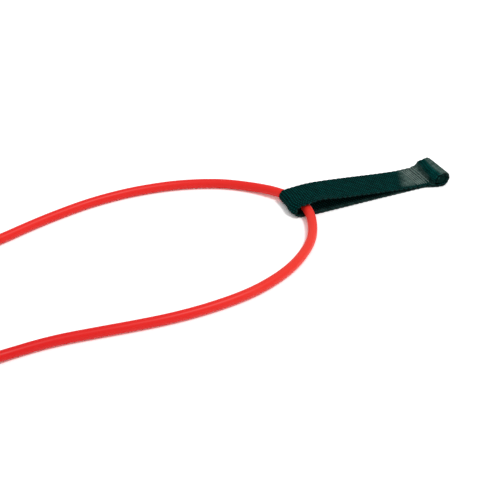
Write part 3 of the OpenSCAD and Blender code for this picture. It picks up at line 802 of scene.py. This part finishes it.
def anchorStitches():
    rowGap = (anchor["seam"] - 2 * anchorRows["fromEnd"]) / (anchorRows["rows"] - 1)
    seamX = stopperAt[0] - stopperAt[2] - anchor["seam"]
    lean, thread = math.radians(anchor["skew"]), anchorRows["thread"]
    count = int((anchor["width"] - 2 * anchorRows["margin"] - anchorRows["stitch"]) / anchorRows["pitch"]) + 1
    hemX, hemY = hemLine[np.argsort(hemLine[:, 1]), :2].T
    found = []
    for row in range(anchorRows["rows"]):
        x = seamX + anchorRows["fromEnd"] + row * rowGap
        for k in range(count):
            along = (k - (count - 1) / 2) * anchorRows["pitch"]
            at = np.array([x - along * math.sin(lean), along * math.cos(lean), 0])
            onHem = at[0] - np.interp(at[1], hemY, hemX) if hemY[0] < at[1] < hemY[-1] else -1
            on = 2 * anchor["thickness"] + (hemThickness(onHem) if onHem > 0 else 0)
            askew = chance.uniform(-anchorRows["wander"], anchorRows["wander"])
            way = [askew - math.sin(lean), math.cos(lean), 0]
            found.append(stitchSkin(at + [0, 0, on], way, [0, 0, 1], anchorRows["stitch"], thread))
            found.append(stitchSkin(at + [0, 0, thread], way, [0, 0, -1], anchorRows["stitch"],
                                    anchorRows["under"] * thread))
    return found


addPiece("anchor_stitches", anchorStitches(), "door_anchor", anchorThread, "thread", "anchor_stitching")

stopperCore = {
    "radius": 5.5,  # mm
    "length": 33.4,
    "edge": 1.4,  # rounding of its ends, which are a little domed
    "dome": 0.25,
    "unevenness": 0.06,
}


def stopperSkin():
    lean = math.radians(anchor["skew"])
    half, radius, edge = stopperCore["length"] / 2, stopperCore["radius"], stopperCore["edge"]
    outline = [(-half - stopperCore["dome"], 0.3), (-half, radius - edge)]
    outline += [(-half + edge * (1 - math.cos(a)), radius - edge * (1 - math.sin(a)))
                for a in np.radians([30, 60, 90])]
    outline += [(-place, r) for place, r in outline[::-1]]
    rings = turnedRings(outline, stopperAt, [-math.sin(lean), math.cos(lean), 0], 72, 0.5, looped=False)
    sunk = chance.uniform(0, stopperCore["unevenness"], rings.shape[:2])[..., None]
    return skinOf(rings - unit(rings - stopperAt) * sunk)


core = addPiece("stopper_rod", [stopperSkin()], "door_anchor", coreFoam, "foam", "anchor_stopper_core")
print("door anchor made")

# Handles: each is a strap whose front is doubled, and a foam grip that turns on it
handle = {
    "depth": 105.0,  # mm from the grip's axis to the front
    "width": 20.0,
    "thickness": 1.6,
    "rib": 2.2,
    "frontHalf": 12.0,
    "frontRadius": 5.0,
    "turnRadius": 7.0,
    "turnY": 78.1,  # where the lines of a leg and of the grip meet
    "overlap": 30.0,
    "stepOver": 9.0,  # length over which the outer layer climbs onto the start of the inner one
    "coarser": 1.25,  # its points are this much further apart along it than across it
    "wear": 0.35,  # of the stretch in and beside the grip: this near its axis, fading over
    "wornWithin": 14.0,
    "wornOver": 12.0,
    "hole": 5.75,  # radius, for the eyelet's barrel
    "rows": 3,
    "firstRow": 3.0,  # from the end of the front's bend; the last is twice that from the overlap's end
    "margin": 1.5,
    "pitch": 3.6,
    "stitch": 3.2,
    "thread": 0.4,
    "askew": 0.02,  # of its length, that a stitch leans
    "arcPoints": 40,  # of a corner of the strap
}


def cornerArc(before, corner, after, radius):  # counterclockwise round a corner
    a, b = unit(before - corner), unit(after - corner)
    half = math.acos(a @ b) / 2
    middle = corner + unit(a + b) * radius / math.sin(half)
    start = math.degrees(math.atan2(a[0], -a[1]))
    return arc(middle, radius, start, start + 180 - math.degrees(2 * half), handle["arcPoints"])


frontX = -1.5 * handle["thickness"]
corners = np.array([[frontX, -handle["frontHalf"]], [frontX, handle["frontHalf"]],
                    [-handle["depth"], handle["turnY"]], [-handle["depth"], -handle["turnY"]]])
legWay = unit(corners[2] - corners[1])


def handleSkin(origin):
    t = handle["thickness"]
    start = corners[0] + handle["overlap"] * legWay * [1, -1]
    stop = corners[1] + handle["overlap"] * legWay
    radii = [handle["frontRadius"]] * 2 + [handle["turnRadius"]] * 2
    loop = [cornerArc(corners[k - 1], corners[k], corners[(k + 1) % 4], radii[k]) for k in range(4)]
    loop = np.concatenate([start[None], *loop, start[None]])
    around = pathLength(loop)
    frontEnd = 2 * handle["arcPoints"]  # number of the point where the front's second bend ends
    length = around[-1] + around[frontEnd] + np.linalg.norm(stop - loop[frontEnd])
    step = handle["rib"] / weave["samples"] * handle["coarser"]
    distance = np.linspace(0, length, int(round(length / step)) + 1)
    inLoop = distance % around[-1]
    line, before, ahead = (np.stack([np.interp((inLoop + d) % around[-1], around, column)
                                     for column in loop.T], 1) for d in (0, -0.4, 0.4))
    run = unit(ahead - before)
    outward = np.stack([run[:, 1], -run[:, 0], 0 * inLoop], 1)
    up = t * smoothStep((distance - around[-1] + handle["stepOver"] + 1) / handle["stepOver"])
    places = origin + np.column_stack([line, 0 * inLoop]) + up[:, None] * outward
    sideways = np.tile([0.0, 0.0, 1.0], (len(line), 1))
    fromGrip = np.abs(line[:, 0] + handle["depth"])
    wear = handle["wear"] * smoothStep((handle["wornWithin"] - fromGrip) / handle["wornOver"])
    return webbingSkin(places, outward, sideways, distance, handle["width"], t, handle["rib"], wear), length


def pierce(piece, middle, radius):  # a round hole along X through both layers of the front
    shape = bmesh.new()
    shape.from_mesh(piece.data)
    low = middle[0] - 3 * handle["thickness"]

    def offAxis(point):
        return Vector((point.y / mm - middle[1], point.z / mm - middle[2]))

    inside = [face for face in shape.faces if face.calc_center_median().x / mm > low
              and offAxis(face.calc_center_median()).length < radius]
    bmesh.ops.delete(shape, geom=inside, context="FACES")
    # the open edges, gathered into rims that grow at both ends
    rims, left = [], {edge for edge in shape.edges if edge.is_boundary}
    while left:
        rim = [left.pop()]
        grew = True
        while grew:
            joined = {edge for end in rim[-1].verts for edge in end.link_edges if edge in left}
            joined |= {edge for end in rim[0].verts for edge in end.link_edges if edge in left}
            grew = bool(joined)
            rim += joined
            left -= joined
        rims.append(rim)
    for vertex in {end for rim in rims for edge in rim for end in edge.verts}:
        away = offAxis(vertex.co)
        away *= radius / away.length
        vertex.co.y, vertex.co.z = (middle[1] + away.x) * mm, (middle[2] + away.y) * mm
    rims.sort(key=lambda rim: sum(edge.verts[0].co.x for edge in rim) / len(rim))
    walls = []
    for k in range(0, len(rims), 2):
        walls += bmesh.ops.bridge_loops(shape, edges=rims[k] + rims[k + 1])["faces"]
    baking = shape.loops.layers.uv["OFBake"]
    for k, face in enumerate(walls):  # the walls' place in the map for baking is below all rows
        face.smooth = True
        for corner, (x, y) in zip(face.loops, ((0.1, 0), (0.9, 0), (0.9, 1), (0.1, 1))):
            corner[baking].uv = ((k + x) / len(walls), 0.0004 * y)
    bmesh.ops.recalc_face_normals(shape, faces=shape.faces)
    shape.to_mesh(piece.data)
    shape.free()


def handleStitches(origin):
    t, first = handle["thickness"], handle["firstRow"]
    last = handle["overlap"] - 2 * first
    rowGap = (last - handle["frontRadius"] - first) / handle["rows"]
    count = int((handle["width"] - 2 * handle["margin"] - handle["stitch"]) / handle["pitch"]) + 1
    found = []
    for flip in (1, -1):
        out = np.array([legWay[1], -legWay[0] * flip, 0])
        way = np.array([legWay[0], legWay[1] * flip, 0])
        for row in range(handle["rows"]):
            on = np.array([corners[1][0], corners[1][1] * flip, 0]) + (last - row * rowGap) * way
            for k in range(count):
                at = origin + on + [0, 0, (k - (count - 1) / 2) * handle["pitch"]]
                for side, depth in ((1, 1.5 * t), (-1, 0.5 * t)):
                    found.append(stitchSkin(at + side * depth * out, [handle["askew"], 0, 1], side * out,
                                            handle["stitch"], handle["thread"]))
    return found


eyelet = {
    "bore": 5.1,  # radii, mm
    "barrel": 5.7,
    "curl": 7.05,
    "dome": 6.6,  # where the flange's rounded face begins to fall
    "flange": 8.4,
    "washer": 5.75,  # the washer's hole
    "face": 0.8,  # places along its axis, from the webbing's front
    "rim": 0.5,
    "curlFrom": -4.8,  # the barrel's end, curled over the washer
    "curlTo": -4.0,
    "washerFrom": -3.98,
    "washerRim": -3.35,
    "washerTo": -3.25,
}


def eyeletSkins(origin):
    bore, barrel, curl, flange = (eyelet[name] for name in ("bore", "barrel", "curl", "flange"))
    curlFrom, curlTo, washerFrom = eyelet["curlFrom"], eyelet["curlTo"], eyelet["washerFrom"]
    front = rounded([
        (eyelet["face"], bore, 0.45), (curlFrom, bore, 0.5), (curlFrom, curl, 0.38), (curlTo, curl, 0.3),
        (curlTo, barrel, 0), (0, barrel, 0), (0, flange, 0.15), (eyelet["rim"], flange, 0.2),
        (eyelet["face"], eyelet["dome"], 1.5)])
    washer = rounded([
        (eyelet["washerTo"], eyelet["washer"], 0.15), (washerFrom, eyelet["washer"], 0.1),
        (washerFrom, flange, 0.25), (eyelet["washerRim"], flange, 0.25)])
    return [[skinOf(turnedRings(outline, origin, [1, 0, 0]), looped=True)] for outline in (front, washer)]


grip = {
    "length": 126.0,  # mm, the hard core
    "bore": 10.7,  # radii
    "core": 12.5,
    "foam": 16.5,
    "cap": 15.5,
    "capWall": 2.5,
    "socket": 4.0,
    "fit": 0.05,  # between the core and what sits on it
    "coreEdge": 0.25,  # roundings
    "foamEdge": 2.0,
    "foamStep": 0.7,  # between the foam's points
    "pores": 0.16,  # depth
    "outOfRound": 0.1,
    "sunk": 0.12,  # so that the foam stands nowhere past its radius
}


def coreOutline():
    half, edge = grip["length"] / 2, grip["coreEdge"]
    return rounded([(place, grip[name], edge) for place, name in
                    ((-half, "bore"), (-half, "core"), (half, "core"), (half, "bore"))])


def capOutline():
    half, wall = grip["length"] / 2, grip["capWall"]
    on, seat = half + grip["fit"], grip["core"] + grip["fit"]
    return rounded([(on, grip["bore"], 0), (on, seat, 0.1), (half - grip["socket"], seat, 0.2),
                    (half - grip["socket"], grip["cap"], 0.2), (half + wall, grip["cap"], wall * 0.52),
                    (half + wall, grip["bore"], wall * 0.5)], 9)


def foamRings(middle):
    half = grip["length"] / 2 - grip["socket"] - grip["fit"]
    inner, outer, edge = grip["core"] + grip["fit"], grip["foam"], grip["foamEdge"]
    outline = rounded([(-half, inner, 0), (-half, outer, edge), (half, outer, edge), (half, inner, 0)], 8)
    rings = turnedRings(outline, middle, [0, 1, 0], 150, grip["foamStep"])
    off = (rings - middle) * [1, 0, 1]
    away = np.linalg.norm(off, axis=2)
    outside = smoothStep((away - inner - 1) / 2)
    turn = np.arctan2(off[..., 0], off[..., 2])
    soft = grip["outOfRound"] * np.sin(2 * turn) * np.sin(turn) - grip["sunk"]
    pits = grip["pores"] * chance.random(away.shape) ** 3
    return rings + unit(off) * (outside * (soft - pits))[..., None]


plug = {
    "stem": 14.0,  # mm, lengths
    "point": 2.0,
    "rim": 2.0,
    "dome": 6.0,
    "tip": 1.65,  # radii
    "body": 2.45,
    "head": 7.0,
    "edge": 0.6,
}


def plugSkin(endPlace):
    stem, body, head, edge = plug["stem"], plug["body"], plug["head"], plug["edge"]
    outline = [(-stem, 0.2), (-stem, plug["tip"]), (plug["point"] - stem, body), (0, body)]
    outline += [(0, head - edge), (0.3 * edge, head - 0.3 * edge), (edge, head)]
    outline += [(plug["rim"] + plug["dome"] * math.sin(a), head * math.cos(a))
                for a in np.radians(np.linspace(0, 88, 16))]
    return skinOf(turnedRings(outline, endPlace, [-1, 0, 0], 72, looped=False))


for end, tubeEnd in (("a", tubeLine[0]), ("b", tubeLine[-1])):
    body, gripBody = "handle_" + end, "grip_" + end
    low, high = boxOf("eyelet_" + end)
    origin = np.array([high[0] - eyelet["face"], *((low + high) / 2)[1:]])
    skin, handleLength = handleSkin(origin)
    strap = addPiece("handle_webbing_" + end, [skin], body, handleWebbing, "webbing", "handle_strap_" + end)
    pierce(strap, origin, handle["hole"])
    addPiece("handle_stitches_" + end, handleStitches(origin), body, handleThread, "thread",
             "handle_stitching_" + end)
    ring, washer = eyeletSkins(origin)
    addPiece("eyelet_ring_" + end, ring, body, nickel, "nickel", "eyelet_" + end)
    addPiece("eyelet_back_" + end, washer, body, nickel, "nickel", "eyelet_washer_" + end)
    middle = centreOf("grip_foam_" + end)
    core = skinOf(turnedRings(coreOutline(), middle, [0, 1, 0]), looped=True)
    addPiece("grip_tube_" + end, [core], gripBody, plastic, "hard_plastic", "grip_core_" + end)
    sleeve = addPiece("grip_sleeve_" + end, [skinOf(foamRings(middle), looped=True)],
                      gripBody, gripFoam, "foam", "grip_foam_" + end)
    for side, way in (("left", -1), ("right", 1)):
        cap = skinOf(turnedRings(capOutline(), middle, [0, way, 0], 120), looped=True)
        addPiece("grip_cap_%s_%s" % (side, end), [cap], gripBody, plastic, "hard_plastic",
                 "end_cap_%s_%s" % (side, end))
    addPiece("plug_" + end, [plugSkin(tubeEnd)], "root", plastic, "hard_plastic", "tube_plug_" + end)
print("handles made, each strap %.0f mm long" % handleLength)

studio = {
    "floorHalf": 6.0,  # metres
    "floorBrighter": 0.4,  # white added to the floor where it is seen
    "fill": 0.65,  # world strength
    "sunStrength": 1.2,
    "sunFrom": (0.3, -0.25, 0.92),  # to the right and the front, and high
    "sunSize": 14.0,  # degrees, for a soft edge
}
floorMesh = bpy.data.meshes.new("floor")
floorCorners = [(x * studio["floorHalf"], y * studio["floorHalf"], 0)
                for x, y in ((-1, -1), (1, -1), (1, 1), (-1, 1))]
floorMesh.from_pydata(floorCorners, [], [(0, 1, 2, 3)])
floor = bpy.data.objects.new("floor", floorMesh)
bpy.context.scene.collection.objects.link(floor)


# Matt white card: where it is seen, directly or in a reflection, it is a shade lighter than paper, so
# that the card round the object is white and only the object's own shadow shows
def whiteCard():
    finish, tree, shader = newFinish("matt_white_card", {
        "Base Color": linear("#fafafa"), "Roughness": 0.9, "Specular IOR Level": 0.1})
    rays = addNode(tree, "LightPath")
    direct = addNode(tree, "Math", {"operation": "MAXIMUM"},
                     {0: rays.outputs["Is Camera Ray"], 1: rays.outputs["Is Glossy Ray"]})
    seen = addNode(tree, "Math", {"operation": "MAXIMUM"},
                   {0: direct.outputs[0], 1: rays.outputs["Is Transmission Ray"]})
    brighter = [studio["floorBrighter"]] * 3 + [1]
    whiter = addNode(tree, "Mix", {"data_type": "RGBA", 6: (0, 0, 0, 1), 7: brighter}, {0: seen.outputs[0]})
    lighter = addNode(tree, "BsdfDiffuse", None, {"Color": whiter.outputs[2]})
    lit = addNode(tree, "AddShader", None, {0: shader.outputs[0], 1: lighter.outputs[0]})
    feed(tree, tree.nodes["Material Output"], {"Surface": lit.outputs[0]})
    return finish


floorMesh.materials.append(whiteCard())

world = bpy.data.worlds.new("studio")
world.use_nodes = True
bpy.context.scene.world = world
background = world.node_tree.nodes["Background"]
background.inputs["Color"].default_value = (1, 1, 1, 1)
background.inputs["Strength"].default_value = studio["fill"]
sun = bpy.data.lights.new("sun", "SUN")
sun.energy = studio["sunStrength"]
sun.angle = math.radians(studio["sunSize"])
sunLamp = bpy.data.objects.new("sun", sun)
sunLamp.rotation_euler = (-Vector(studio["sunFrom"])).to_track_quat("-Z", "Y").to_euler()
bpy.context.scene.collection.objects.link(sunLamp)
bpy.context.scene.view_settings.view_transform = "Standard"
print("floor and light made")
